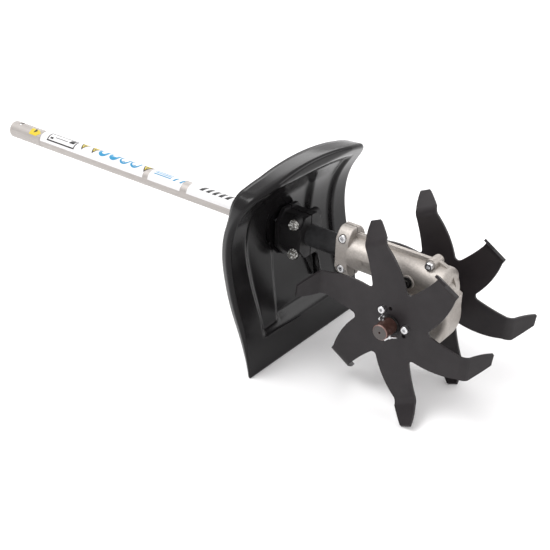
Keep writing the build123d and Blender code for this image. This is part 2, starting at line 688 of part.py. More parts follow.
def guard_screws():
    """Four pan-head screws from behind the deflector into its clamp."""
    screws = []
    for y, z in guard_screw_places():
        seat = SADDLE_X - 9.0
        head = rod_x(seat - 3.5, seat, 4.8, y, z)
        head = fillet(head.edges().filter_by(lambda e: e.center().X < seat - 3.4), 1.5)
        cross = block(seat - 4, seat - 2, y - 2.6, y + 2.6, z - 0.6, z + 0.6)
        cross += block(seat - 4, seat - 2, y - 0.6, y + 0.6, z - 2.6, z + 2.6)
        screws.append(head + rod_x(seat, SADDLE_X + 12.0, 2.5, y, z) - cross)
    return screws


def clamp_section(half_y, half_z, flat_y, flat_z):
    """Half of a rectangle with its corners cut off, on the +Y side of the tube axis."""
    upper = [(0, half_z), (flat_y, half_z), (half_y, flat_z)]
    lower = [(y, -z) for y, z in reversed(upper)]
    return Pos(0, TUBE_Z) * Polygon(*upper, *lower, align=None)


def guard_clamp(side):
    """Half of the plastic clamp that holds the deflector on the sleeve."""
    x0, x1 = CLAMP_X
    body = face_on_prism(clamp_section(CLAMP_EAR_Y, CLAMP_HALF_Z, 12.0, 14.0), x0, x1)
    foot = clamp_section(CLAMP_EAR_Y + 4.0, CLAMP_HALF_Z + 4.0, 14.0, 16.0)
    body += face_on_prism(foot, SADDLE_X, SADDLE_X + 5.0)
    for z in (-CLAMP_BOLT_Z, CLAMP_BOLT_Z):
        body += rod_y(0, CLAMP_EAR_Y, 8.0, CLAMP_BOLT_X, TUBE_Z + z)
    body -= rod_x(SADDLE_X - 1, x1 + 1, SLEEVE_R)
    body -= block(-200, -150, -1, 0.8, TUBE_Z - 40, TUBE_Z + 40)
    for z in (-CLAMP_BOLT_Z, CLAMP_BOLT_Z):
        body -= rod_y(-1, 40, SCREW_R, CLAMP_BOLT_X, TUBE_Z + z)
    for y, z in guard_screw_places():
        body -= rod_x(SADDLE_X - 1, SADDLE_X + 12.0, 2.5, y, z)
    if side < 0:
        return mirrored(body)
    for z in (-CLAMP_BOLT_Z, CLAMP_BOLT_Z):
        body -= hexagon_y(10.0, CLAMP_EAR_Y - 5.0, CLAMP_EAR_Y + 1, CLAMP_BOLT_X, TUBE_Z + z)
    return body


def clamp_bolts():
    """Flanged hexagon bolts, heads on the near side."""
    bolts = []
    for z in (TUBE_Z - CLAMP_BOLT_Z, TUBE_Z + CLAMP_BOLT_Z):
        flange = rod_y(-CLAMP_EAR_Y - 1.4, -CLAMP_EAR_Y, 6.8, CLAMP_BOLT_X, z)
        head = hexagon_y(10.0, -CLAMP_EAR_Y - 6.0, -CLAMP_EAR_Y, CLAMP_BOLT_X, z)
        shank = rod_y(-CLAMP_EAR_Y, CLAMP_EAR_Y + 1.5, SCREW_R, CLAMP_BOLT_X, z)
        bolts.append(flange + head + shank)
    return bolts


def clamp_nuts():
    nuts = []
    for z in (TUBE_Z - CLAMP_BOLT_Z, TUBE_Z + CLAMP_BOLT_Z):
        nut = hexagon_y(10.0, CLAMP_EAR_Y - 5.0, CLAMP_EAR_Y, CLAMP_BOLT_X, z)
        nuts.append(nut - rod_y(0, 40, SCREW_R, CLAMP_BOLT_X, z))
    return nuts


def tube_sleeve():
    return ring_x(-205.0, COLLAR_REAR, TUBE_R, SLEEVE_R)


def tube_labels():
    """Three films over the top of the bare tube. Their long edges stop just above its sides."""
    spans = ((-648.0, -436.0), (-426.0, -366.0), (-354.0, -226.0))
    upper = block(TUBE_REAR, 0, -20, 20, TUBE_Z + LABEL_EDGE_Z, TUBE_Z + 20)
    return [ring_x(x0, x1, TUBE_R, TUBE_R + LABEL_T) & upper for x0, x1 in spans]


# ---------------------------------------------------------------- whole tool

def build_nodes():
    near_wheel = tine_wheel(-1)
    ground = -near_wheel.bounding_box().min.Z
    nodes = {
        "drive_tube": drive_tube(),
        "shaft_bushes": shaft_bushes(),
        "end_bush": end_bush(),
        "tube_sleeve": tube_sleeve(),
        "tube_labels": tube_labels(),
        "drive_shaft": drive_shaft(),
        "worm": worm(),
        "worm_circlip": worm_circlip(),
        "worm_bearing_rear": rear_bearing(),
        "worm_bearing_front": front_bearing(),
        "gear_case_near": gear_case_near(),
        "gear_case_far": gear_case_far(),
        "case_screws": case_screws(),
        "case_dowels": case_dowels(),
        "grease_plug": grease_plug(),
        "plug_washer": plug_washer(),
        "axle": axle(),
        "worm_wheel": worm_wheel(),
        "worm_wheel_key": wheel_key(),
        "hub_keys": hub_keys(),
        "hub_circlips": hub_circlips(),
        "tine_wheel_near": near_wheel,
        "tine_wheel_far": tine_wheel(1),
        "guard_shell": guard_shell(ground),
        "guard_screws": guard_screws(),
        "guard_clamp_near": guard_clamp(-1),
        "guard_clamp_far": guard_clamp(1),
        "clamp_bolts": clamp_bolts(),
        "clamp_nuts": clamp_nuts(),
    }
    for name, side in (("near", -1), ("far", 1)):
        nodes["axle_bearing_" + name] = axle_bearing(side)
        nodes["axle_seal_" + name] = axle_seal(side)
        nodes["wheel_hub_" + name] = wheel_hub(side)
        nodes["hub_screws_" + name] = hub_screws(side)
        nodes["cotter_pin_" + name] = cotter_pin(side)
    return nodes, ground


def stand_on_ground(nodes, ground):
    """Move the origin to the ground, under the middle of the whole tool's length."""
    group = {}
    for name, shape in nodes.items():
        pieces = shape if isinstance(shape, list) else [shape]
        group[name] = Compound(children=[solid for piece in pieces for solid in piece.solids()])
    boxes = [shape.bounding_box() for shape in group.values()]
    middle = (min(b.min.X for b in boxes) + max(b.max.X for b in boxes)) / 2
    print(f"axle at x {-middle:.4f}, z {ground:.4f}; tube axis at z {ground + TUBE_Z:.4f}")
    return {name: Pos(-middle, 0, ground) * shape for name, shape in group.items()}


def main():
    os.makedirs("parts", exist_ok=True)
    nodes, ground = build_nodes()
    for name, shape in stand_on_ground(nodes, ground).items():
        export_step(shape, f"parts/{name}.step")


main()
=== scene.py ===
import math

import bmesh
import bpy
from mathutils import Matrix, Vector


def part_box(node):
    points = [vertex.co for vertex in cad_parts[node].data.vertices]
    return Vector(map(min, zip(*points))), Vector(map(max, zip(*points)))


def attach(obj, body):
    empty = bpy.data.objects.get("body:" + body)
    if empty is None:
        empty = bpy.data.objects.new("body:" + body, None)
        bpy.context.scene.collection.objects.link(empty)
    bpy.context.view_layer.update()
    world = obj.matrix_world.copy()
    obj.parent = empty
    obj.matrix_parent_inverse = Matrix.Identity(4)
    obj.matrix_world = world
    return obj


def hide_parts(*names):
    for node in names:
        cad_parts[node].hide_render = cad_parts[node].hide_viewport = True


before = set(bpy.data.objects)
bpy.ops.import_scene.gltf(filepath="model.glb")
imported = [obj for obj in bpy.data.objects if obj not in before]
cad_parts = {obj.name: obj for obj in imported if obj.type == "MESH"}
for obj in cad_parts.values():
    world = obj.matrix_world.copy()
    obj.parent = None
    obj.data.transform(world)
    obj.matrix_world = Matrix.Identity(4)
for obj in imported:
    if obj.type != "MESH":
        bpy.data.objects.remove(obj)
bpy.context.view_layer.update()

# Metres throughout. x is measured from the axle's middle, and y from the middle of the tool.
AXLE = (Vector(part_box("axle")[0]) + Vector(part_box("axle")[1])) / 2
TUBE = (Vector(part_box("drive_tube")[0]) + Vector(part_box("drive_tube")[1])) / 2
TUBE_R = 0.0127
FILM_R = TUBE_R + 0.00015

# Deflector, with heights above the ground. The side is (x, height) from foot to top.
GUARD_SIDE = (
    (-0.155, 0.0), (-0.1635, 0.058), (-0.1795, 0.113),
    (-0.186, 0.160), (-0.1785, 0.200), (-0.150, 0.246),
)
GUARD_HALF = 0.122
GUARD_CORNER_Z = 0.238
GUARD_CORNER_R = 0.018
GUARD_CROWN_Z = 0.258
GUARD_T = 0.003
GUARD_FOOT_Z = 0.0006
GUARD_COLUMNS = 128
GUARD_ROWS = 116
EDGE_CROWDING = 0.95

# The deflector's rolled rim. It is smaller at the foot, and the side flanges lean inwards.
RIM_R = 0.0048
ROLL_STEPS = 6
FLANGE_STEPS = 4
FLANGE_DEPTH = 0.0135
TOP_FLANGE_DEPTH = 0.029
TOP_FLANGE_Z = (0.195, 0.25)
FOOT_FADE = 0.25
FOOT_FADE_Z = 0.09
FLANGE_LEAN = math.radians(24)

# The deflector's sunk panel, the deeper pocket in it as (height, half width), and the short rib
PANEL_DEPTH = 0.005
PANEL_HALF = 0.088
PANEL_FLARE = 0.006
PANEL_LOW_Z = 0.038
PANEL_EDGE = 0.010
PANEL_TOP_MARGIN = 0.015
POCKET_DEPTH = 0.006
POCKET_WIDTHS = ((0.050, 0.053), (0.137, 0.037), (0.152, 0.046), (0.190, 0.046), (0.232, 0.030))
POCKET_LOW_Z = 0.046
POCKET_HIGH_Z = 0.236
POCKET_ARCH = 18.0
POCKET_EDGE = 0.008
RIB_Y = 0.0435
RIB_T = 0.004
RIB_DEPTH = 0.010
RIB_LOW_Z = 0.071
RIB_HIGH_Z = 0.106
RIB_ROOT = 0.002
RIB_EDGE_R = 0.0006

# Print on the tube: places along it, and arcs up its round from the -Y side
MARK_LIFT = 0.00006
STICKER_LIFT = -0.00008
MARK_EDGE = 0.0016
WARNING_X = (-0.562, -0.540, -0.437)
DISC_X = (-0.5215, -0.5000)
RING_X = (-0.4790, -0.4580)
ROUND_ARC = 0.0208
BAR_X = (-0.336, -0.325, -0.314, -0.303, -0.292)

# Axle colours change at these distances from its middle, over a short blend
AXLE_CHAMFER_Y = (0.0786, 0.0790)
AXLE_FACE_Y = (0.0797, 0.07985)

# Floor, just under the ground so that it doesn't touch the pieces that stand on it
FLOOR_HALF = 9.0
FLOOR_Z = -0.0003

# Camera, from the axle's middle, turned about Z, then X, then its own view axis, in degrees
CAMERA_PLACE = (0.48819, -0.92275, 0.60483)
CAMERA_TURN = (37.13, 61.1, 1.49)


# ---------------------------------------------------------------- material tools

class Nodes:
    """Short names for building one material's node tree."""

    def __init__(self, name, colour, metallic=0.0, roughness=0.5):
        self.material = bpy.data.materials.new(name)
        self.material.use_nodes = True
        self.tree = self.material.node_tree
        self.shader = self.tree.nodes["Principled BSDF"]
        self.shader.inputs["Base Color"].default_value = (*colour, 1.0)
        self.shader.inputs["Metallic"].default_value = metallic
        self.shader.inputs["Roughness"].default_value = roughness
        self.coords = self.tree.nodes.new("ShaderNodeTexCoord")
        self.bumps = None

    def link(self, a, b):
        self.tree.links.new(a, b)

    def noise(self, scale, detail=4.0, rough=0.55, stretch=(1, 1, 1)):
        mapping = self.tree.nodes.new("ShaderNodeMapping")
        mapping.inputs["Scale"].default_value = stretch
        texture = self.tree.nodes.new("ShaderNodeTexNoise")
        texture.inputs["Scale"].default_value = scale
        texture.inputs["Detail"].default_value = detail
        texture.inputs["Roughness"].default_value = rough
        self.link(self.coords.outputs["Object"], mapping.inputs["Vector"])
        self.link(mapping.outputs["Vector"], texture.inputs["Vector"])
        return texture.outputs["Fac"]

    def cells(self, scale):
        texture = self.tree.nodes.new("ShaderNodeTexVoronoi")
        texture.inputs["Scale"].default_value = scale
        self.link(self.coords.outputs["Object"], texture.inputs["Vector"])
        return texture.outputs["Distance"]

    def ramp(self, value, stops):
        """Colours by value. Each stop is (place, grey or colour)."""
        node = self.tree.nodes.new("ShaderNodeValToRGB")
        elements = node.color_ramp.elements
        while len(elements) < len(stops):
            elements.new(0.5)
        for element, (place, colour) in zip(elements, stops):
            element.position = place
            grey = isinstance(colour, float)
            element.color = (colour, colour, colour, 1) if grey else (*colour, 1)
        self.link(value, node.inputs["Fac"])
        return node.outputs["Color"]

    def mix(self, factor, a, b):
        """a where factor is 0 and b where it is 1. Each is a socket or a colour."""
        node = self.tree.nodes.new("ShaderNodeMix")
        node.data_type = "RGBA"
        self.link(factor, node.inputs[0])
        for side, index in ((a, 6), (b, 7)):
            if isinstance(side, tuple):
                node.inputs[index].default_value = (*side, 1)
            else:
                self.link(side, node.inputs[index])
        return node.outputs[2]

    def between(self, axis, low, high):
        """0 below low and 1 above high along one object axis."""
        split = self.tree.nodes.new("ShaderNodeSeparateXYZ")
        self.link(self.coords.outputs["Object"], split.inputs[0])
        node = self.tree.nodes.new("ShaderNodeMapRange")
        node.inputs["From Min"].default_value = low
        node.inputs["From Max"].default_value = high
        self.link(split.outputs[axis], node.inputs["Value"])
        return node.outputs["Result"]

    def colour(self, socket):
        self.link(socket, self.shader.inputs["Base Color"])

    def roughness(self, value, low, high):
        node = self.tree.nodes.new("ShaderNodeMapRange")
        node.inputs["To Min"].default_value = low
        node.inputs["To Max"].default_value = high
        self.link(value, node.inputs["Value"])
        self.link(node.outputs["Result"], self.shader.inputs["Roughness"])

    def bump(self, value, strength, distance):
        node = self.tree.nodes.new("ShaderNodeBump")
        node.inputs["Strength"].default_value = strength
        node.inputs["Distance"].default_value = distance
        self.link(value, node.inputs["Height"])
        if self.bumps is not None:
            self.link(self.bumps, node.inputs["Normal"])
        self.bumps = node.outputs["Normal"]
        self.link(self.bumps, self.shader.inputs["Normal"])


# ---------------------------------------------------------------- materials

def gloss_black():
    """Moulded plastic with a semi-gloss face: flow marks, fine scuffs and a little dust."""
    m = Nodes("moulded_gloss_black", (0.006, 0.0055, 0.006), roughness=0.3)
    m.shader.inputs["Specular IOR Level"].default_value = 0.2
    scuffs = m.ramp(m.noise(140.0, 6.0, 0.7), [(0.55, 0.0), (0.8, 0.3)])
    dust = m.mix(scuffs, (0.005, 0.0046, 0.005), (0.026, 0.024, 0.024))
    clouds = m.ramp(m.noise(9.0, 3.0), [(0.35, 0.0), (0.7, 1.0)])
    m.colour(m.mix(clouds, dust, (0.009, 0.0083, 0.009)))
    m.roughness(m.noise(30.0, 6.0, 0.7), 0.11, 0.25)
    m.bump(m.noise(14.0, 2.0), 0.2, 0.0012)
    m.bump(m.noise(700.0, 2.0), 0.05, 0.0004)
    return m.material


def satin_black(name, colour=(0.007, 0.0065, 0.007), low=0.42, high=0.6):
    """Satin moulded plastic with a spark-eroded grain."""
    m = Nodes(name, colour, roughness=0.5)
    m.shader.inputs["Specular IOR Level"].default_value = 0.3
    lighter = tuple(c * 2.1 for c in colour)
    patches = m.ramp(m.noise(60.0, 5.0, 0.65), [(0.4, 0.0), (0.75, 1.0)])
    m.colour(m.mix(patches, colour, lighter))
    m.roughness(m.noise(35.0, 4.0), low, high)
    m.bump(m.noise(1500.0, 2.0), 0.25, 0.0003)
    return m.material


def cast_aluminium():
    """Die-cast aluminium: warm grey with fine grain and faint flow lines."""
    m = Nodes("die_cast_aluminium", (0.50, 0.475, 0.445), metallic=0.75, roughness=0.5)
    grain = m.ramp(m.noise(420.0, 6.0, 0.7), [
        (0.3, (0.36, 0.335, 0.31)), (0.72, (0.54, 0.505, 0.47))
    ])
    flow = m.ramp(m.noise(26.0, 4.0, 0.6, (1, 1, 2.5)), [(0.35, 0.0), (0.7, 0.55)])
    m.colour(m.mix(flow, grain, (0.39, 0.355, 0.325)))
    m.roughness(m.noise(110.0, 5.0, 0.7), 0.4, 0.62)
    m.bump(m.cells(900.0), 0.22, 0.0003)
    m.bump(m.noise(60.0, 3.0), 0.15, 0.0006)
    return m.material


def drawn_aluminium():
    """Drawn tube: fine lines along its length and a faint matt oxide."""
    m = Nodes("drawn_aluminium", (0.40, 0.375, 0.355), metallic=0.6, roughness=0.5)
    lines = m.noise(900.0, 3.0, 0.6, (0.012, 1, 1))
    streaks = m.ramp(lines, [(0.3, (0.36, 0.335, 0.32)), (0.7, (0.45, 0.425, 0.405))])
    oxide = m.ramp(m.noise(45.0, 5.0), [(0.4, 0.0), (0.7, 0.6)])
    m.colour(m.mix(oxide, streaks, (0.375, 0.35, 0.33)))
    m.roughness(lines, 0.42, 0.58)
    m.bump(lines, 0.12, 0.0002)
    return m.material


def printed_film(name, colour):
    """Thin printed film: nearly flat colour with mottling, slight ripples and a soft sheen."""
    m = Nodes(name, colour, roughness=0.4)
    darker = tuple(c * 0.93 for c in colour)
    mottling = m.ramp(m.noise(160.0, 5.0, 0.65), [(0.35, 0.0), (0.75, 1.0)])
    m.colour(m.mix(mottling, colour, darker))
    m.roughness(m.noise(50.0, 3.0), 0.3, 0.45)
    m.bump(m.noise(35.0, 2.0, 0.5, (0.4, 1, 1)), 0.1, 0.0004)
    return m.material


def black_paint():
    """Black paint on pressed steel: orange peel, dusty patches, small bare chips."""
    m = Nodes("black_painted_steel", (0.02, 0.018, 0.018), roughness=0.45)
    m.shader.inputs["Specular IOR Level"].default_value = 0.32
    patches = m.ramp(m.noise(32.0, 5.0, 0.6), [(0.38, 0.0), (0.72, 1.0)])
    base = m.mix(patches, (0.0125, 0.0100, 0.0112), (0.0195, 0.0160, 0.0175))
    chips = m.ramp(m.noise(230.0, 5.0, 0.75), [(0.74, 0.0), (0.765, 1.0)])
    m.colour(m.mix(chips, base, (0.09, 0.083, 0.08)))
    m.roughness(m.noise(70.0, 5.0), 0.34, 0.55)
    m.bump(m.noise(260.0, 2.0), 0.16, 0.0003)
    m.bump(m.noise(1200.0, 2.0), 0.08, 0.0001)
    return m.material


def bright_zinc():
    """Zinc plate with a fine crystal mottling and light handling marks."""
    colour = (0.80, 0.80, 0.81)
    m = Nodes("bright_zinc", colour, metallic=1.0, roughness=0.3)
    darker = tuple(c * 0.78 for c in colour)
    m.colour(m.mix(m.ramp(m.cells(700.0), [(0.1, 0.0), (0.7, 1.0)]), colour, darker))
    m.roughness(m.noise(300.0, 5.0, 0.7), 0.2, 0.4)
    m.bump(m.noise(500.0, 4.0), 0.12, 0.0002)
    return m.material


def zinc_with_painted_glints():
    """Bright zinc with a coarse crystal pattern. Its near-white and dark cells are partly real spangle
    and partly painted glints standing in for sparkle.
    """
    m = Nodes("crystal_zinc_painted_glints", (0.82, 0.82, 0.80), metallic=0.35, roughness=0.3)
    # Painted glints: the cells switch the base colour between near-white and dark, so the flecks look
    # bright whatever the light.
    crystals_and_painted_glints = m.ramp(m.cells(420.0), [(0.3, 0.0), (0.5, 1.0)])
    m.colour(m.mix(crystals_and_painted_glints, (0.95, 0.95, 0.93), (0.2, 0.195, 0.18)))
    m.roughness(m.noise(420.0, 5.0, 0.7), 0.16, 0.42)
    m.bump(m.cells(420.0), 0.6, 0.0006)
    return m.material


def machined_metal(name, colour):
    """Turned or ground metal with very fine rings of tool marks."""
    m = Nodes(name, colour, metallic=1.0, roughness=0.35)
    marks = m.noise(1400.0, 3.0, 0.6, (1, 0.05, 1))
    darker = tuple(c * 0.82 for c in colour)
    m.colour(m.mix(m.ramp(marks, [(0.35, 0.0), (0.7, 1.0)]), colour, darker))
    m.roughness(m.noise(160.0, 5.0), 0.28, 0.45)
    m.bump(marks, 0.1, 0.0001)
    return m.material


def oxide_axle():
    """Axle bar with a thin red-brown oxide, paler chamfers and dark turned end faces."""
    m = Nodes("oxide_axle_steel", (0.08, 0.04, 0.03), metallic=0.4, roughness=0.45)
    rust = m.ramp(m.noise(210.0, 6.0, 0.7), [
        (0.3, (0.045, 0.021, 0.017)), (0.55, (0.08, 0.038, 0.030)), (0.8, (0.15, 0.088, 0.072))
    ])
    for side in (-1, 1):
        chamfer = m.between("Y", side * AXLE_CHAMFER_Y[0], side * AXLE_CHAMFER_Y[1])
        rust = m.mix(chamfer, rust, (0.22, 0.13, 0.115))
        face = m.between("Y", side * AXLE_FACE_Y[0], side * AXLE_FACE_Y[1])
        rust = m.mix(face, rust, (0.085, 0.076, 0.073))
    m.colour(rust)
    m.roughness(m.noise(120.0, 5.0), 0.32, 0.55)
    m.bump(m.noise(650.0, 4.0, 0.7), 0.2, 0.0002)
    return m.material


def black_oxide():
    """Blackened steel with rubbed, greyer patches."""
    m = Nodes("black_oxide_steel", (0.03, 0.03, 0.031), metallic=0.6, roughness=0.4)
    rubbed = m.ramp(m.noise(260.0, 5.0), [(0.4, 0.0), (0.75, 1.0)])
    m.colour(m.mix(rubbed, (0.022, 0.022, 0.023), (0.06, 0.057, 0.055)))
    m.roughness(m.noise(150.0, 4.0), 0.32, 0.5)
    m.bump(m.noise(700.0, 3.0), 0.12, 0.0002)
    return m.material


def floor_paper():
    """Matt white paper, very slightly uneven."""
    m = Nodes("pale_floor", (0.93, 0.93, 0.93), roughness=0.9)
    m.colour(m.mix(m.noise(3.0, 2.0), (0.925, 0.925, 0.928), (0.94, 0.94, 0.94)))
    m.shader.inputs["Specular IOR Level"].default_value = 0.1
    return m.material


# ---------------------------------------------------------------- mesh tools

def add_object(name, bm, material, body="frame"):
    """Turn bm into a smooth-shaded piece that rides on body, or on nothing if body is None."""
    mesh = bpy.data.meshes.new(name)
    bm.normal_update()
    bm.to_mesh(mesh)
    bm.free()
    for polygon in mesh.polygons:
        polygon.use_smooth = True
    obj = bpy.data.objects.new(name, mesh)
    bpy.context.scene.collection.objects.link(obj)
    obj.data.materials.append(material)
    if body:
        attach(obj, body)
    return obj


def interpolate(table, x):
    """Smooth curve through a table of (x, value), constant beyond the table's ends."""
    if x <= table[0][0]:
        return table[0][1]
    for i in range(len(table) - 1):
        (x0, y0), (x1, y1) = table[i], table[i + 1]
        if x <= x1:
            before = table[max(i - 1, 0)]
            after = table[min(i + 2, len(table) - 1)]
            slope0 = (y1 - before[1]) / (x1 - before[0])
            slope1 = (after[1] - y0) / (after[0] - x0)
            t = (x - x0) / (x1 - x0)
            h = x1 - x0
            return ((2 * t**3 - 3 * t**2 + 1) * y0 + (t**3 - 2 * t**2 + t) * h * slope0
                    + (3 * t**2 - 2 * t**3) * y1 + (t**3 - t**2) * h * slope1)
    return table[-1][1]


def ease(x, start, end):
    t = min(max((x - start) / (end - start), 0.0), 1.0)
    return t * t * (3 - 2 * t)


# ---------------------------------------------------------------- deflector

def guard_top(y):
    """Height of the shell's arched top edge."""
    return GUARD_CROWN_Z - (GUARD_CROWN_Z - GUARD_CORNER_Z) * (y / GUARD_HALF) ** 2


def skin_top(y):
    """Height where the skin ends and its rolled edge starts, with the upper corners rounded."""
    inner = GUARD_HALF - RIM_R
    corner = GUARD_CORNER_R - RIM_R
    over = max(abs(y) - (inner - corner), 0.0) / corner
    return guard_top(y) - RIM_R - corner * (1 - math.sqrt(max(1 - over * over, 0.0)))


def guard_relief(y, z):
    """How far the skin is set back from the rim at one place."""
    side = abs(y)
    panel_half = PANEL_HALF + PANEL_FLARE * ease(z, 0.05, 0.22)
    panel_top = guard_top(y) - PANEL_TOP_MARGIN
    panel = ease(panel_half - side, 0.0, PANEL_EDGE)
    panel *= ease(z, PANEL_LOW_Z, PANEL_LOW_Z + 0.012)
    panel *= ease(panel_top - z, -0.002, PANEL_EDGE)
    pocket_top = POCKET_HIGH_Z - POCKET_ARCH * side**2
    pocket = ease(interpolate(POCKET_WIDTHS, z) - side, 0.0, POCKET_EDGE)
    pocket *= ease(z, POCKET_LOW_Z, POCKET_LOW_Z + 0.010)
    pocket *= ease(pocket_top - z, -0.001, POCKET_EDGE)
    return PANEL_DEPTH * panel + POCKET_DEPTH * pocket


def guard_point(y, z):
    x = interpolate([(b, a) for a, b in GUARD_SIDE], z)
    return Vector((AXLE.x + x - guard_relief(y, z), y, z))


def guard_grid(bm):
    """The front as columns of vertices from the foot up, closer together towards the sides."""
    inner = GUARD_HALF - RIM_R
    crowding = EDGE_CROWDING * math.pi / 2
    grid = []
    for i in range(GUARD_COLUMNS + 1):
        y = inner * math.sin(crowding * (2 * i / GUARD_COLUMNS - 1)) / math.sin(crowding)
        step = (skin_top(y) - GUARD_FOOT_Z) / GUARD_ROWS
        heights = [GUARD_FOOT_Z + step * j for j in range(GUARD_ROWS + 1)]
        grid.append([bm.verts.new(guard_point(y, z)) for z in heights])
    return grid


def rim_profile(start, along):
    """Points from the skin's border, round the rolled edge and back along the flange."""
    out = Vector((0, -along.z, along.y)).normalized()
    back = Vector((-1, 0, 0))
    fade = FOOT_FADE + (1 - FOOT_FADE) * ease(start.z, 0.0, FOOT_FADE_Z)
    topness = ease(start.z, *TOP_FLANGE_Z)
    roll = RIM_R * fade
    side_depth = FLANGE_DEPTH * fade
    depth = side_depth + (TOP_FLANGE_DEPTH - side_depth) * topness
    turn = math.pi / 2 + FLANGE_LEAN * (1 - topness)
    points = [start]
    for step in range(1, ROLL_STEPS + 1):
        a = turn * step / ROLL_STEPS
        points.append(start + out * roll * math.sin(a) + back * roll * (1 - math.cos(a)))
    flange = out * math.cos(turn) + back * math.sin(turn)
    edge = points[-1]
    for step in range(1, FLANGE_STEPS + 1):
        points.append(edge + flange * (depth - roll) * step / FLANGE_STEPS)
    return points


def add_rim(bm, border):
    """Roll the skin back from its border, which runs up one side, over the top and down."""
    last = border
    profiles = []
    for k, vert in enumerate(border):
        along = border[min(k + 1, len(border) - 1)].co - border[max(k - 1, 0)].co
        profiles.append(rim_profile(vert.co, along))
    for k in range(1, len(profiles[0])):
        ring = [bm.verts.new(profile[k]) for profile in profiles]
        for a in range(len(ring) - 1):
            bm.faces.new((last[a], last[a + 1], ring[a + 1], ring[a]))
        last = ring


def guard_piece(material):
    """The deflector as one thickened skin: a relief front and a rolled rim."""
    bm = bmesh.new()
    grid = guard_grid(bm)
    for i in range(GUARD_COLUMNS):
        for j in range(GUARD_ROWS):
            bm.faces.new((grid[i][j], grid[i + 1][j], grid[i + 1][j + 1], grid[i][j + 1]))
    border = grid[0] + [column[-1] for column in grid[1:-1]] + grid[-1][::-1]
    add_rim(bm, border)
    obj = add_object("deflector_shell", bm, material)
    solid = obj.modifiers.new("thickness", "SOLIDIFY")
    solid.thickness = GUARD_T
    solid.offset = -1.0
    solid.use_even_offset = False
    return obj


def guard_rib_piece(material):
    """Short upright rib moulded on the face of the pocket. Its root is sunk in the skin."""
    outline = (
        (RIB_LOW_Z, 0.0), (RIB_LOW_Z + 0.004, RIB_DEPTH),
        (RIB_HIGH_Z - 0.002, RIB_DEPTH), (RIB_HIGH_Z, 0.0),
    )
    bm = bmesh.new()
    sides = []
    for y in (RIB_Y - RIB_T / 2, RIB_Y + RIB_T / 2):
        points = [guard_point(y, z) + Vector((depth - RIB_ROOT, 0, 0)) for z, depth in outline]
        sides.append([bm.verts.new(point) for point in points])
    bm.faces.new(sides[0])
    bm.faces.new(sides[1][::-1])
    for i in range(4):
        k = (i + 1) % 4
        bm.faces.new((sides[0][k], sides[0][i], sides[1][i], sides[1][k]))
    bmesh.ops.bevel(bm, geom=bm.edges[:], offset=RIB_EDGE_R, segments=2, affect="EDGES")
    bmesh.ops.recalc_face_normals(bm, faces=bm.faces[:])
    return add_object("deflector_rib", bm, material)


# ---------------------------------------------------------------- print on the tube

def on_tube(x, angle, lift):
    """A place on the film: angle is from -Y towards +Z, in degrees."""
    a = math.radians(angle)
    r = FILM_R + lift
    return Vector((AXLE.x + x, TUBE.y - r * math.cos(a), TUBE.z + r * math.sin(a)))


def print_mark(name, outlines, material, lift=MARK_LIFT):
    """Outlines, each a list of (x, arc) in metres, filled and wrapped round the tube."""
    bm = bmesh.new()
    for outline in outlines:
        face = bm.faces.new([bm.verts.new((x, arc, 0)) for x, arc in outline])
        bmesh.ops.triangulate(bm, faces=[face])
    for _ in range(3):
        long_edges = [e for e in bm.edges if e.calc_length() > MARK_EDGE]
        bmesh.ops.subdivide_edges(bm, edges=long_edges, cuts=1, use_grid_fill=False)
        bmesh.ops.triangulate(bm, faces=bm.faces[:])
    for vert in bm.verts:
        vert.co = on_tube(vert.co.x, math.degrees(vert.co.y / FILM_R), lift)
    bmesh.ops.recalc_face_normals(bm, faces=bm.faces[:])
    return add_object(name, bm, material)


def disc(x, arc, r, sides=28):
    turns = [2 * math.pi * i / sides for i in range(sides)]
    return [(x + r * math.cos(a), arc + r * math.sin(a)) for a in turns]


def ring_sectors(x, arc, outer, inner):
    """A ring as one quad for each side."""
    wide, narrow = disc(x, arc, outer), disc(x, arc, inner)
    count = len(wide)
    return [
        [wide[i], wide[(i + 1) % count], narrow[(i + 1) % count], narrow[i]] for i in range(count)
    ]


def bar(x0, x1, arc0, arc1, slant=0.0):
    return [(x0, arc0), (x1, arc0), (x1 + slant, arc1), (x0 + slant, arc1)]


def triangle(x, low, size):
    """A triangle on its point, which is at arc low."""
    return [(x, low), (x + size / 2, low + size * 0.87), (x - size / 2, low + size * 0.87)]


def triangle_right(x, arc, size):
    """A triangle that points along the tube, with its flat side at x."""
    return [(x, arc - size / 2), (x + size * 0.7, arc), (x, arc + size / 2)]


def frame_of(x0, x1, arc0, arc1, t):
    """A rectangle's outline with lines of width t."""
    return [
        bar(x0, x1, arc0, arc0 + t),
        bar(x0, x1, arc1 - t, arc1),
        bar(x0, x0 + t, arc0 + t, arc1 - t),
        bar(x1 - t, x1, arc0 + t, arc1 - t),
    ]


def box_print(black):
    marks = frame_of(-0.634, -0.576, 0.0068, 0.0232, 0.0021)
    marks += [bar(-0.620, -0.594, 0.0146, 0.0158), bar(-0.629, -0.623, 0.0110, 0.0142)]
    marks += [bar(-0.591, -0.581, 0.0140, 0.0205, 0.002)]
    print_mark("print_box", marks, black)


def warning_print(black, yellow):
    """Three plain triangles in three layers: black edge, yellow field, black stroke."""
    edges = [triangle(x, 0.0104, 0.0194) for x in WARNING_X]
    fields = [triangle(x, 0.0140, 0.0128) for x in WARNING_X]
    strokes = [bar(x - 0.0011, x + 0.0011, 0.0176, 0.0230) for x in WARNING_X]
    print_mark("print_warning_edges", edges, black)
    print_mark("print_warning_fields", fields, yellow, 2 * MARK_LIFT)
    print_mark("print_warning_strokes", strokes, black, 3 * MARK_LIFT)


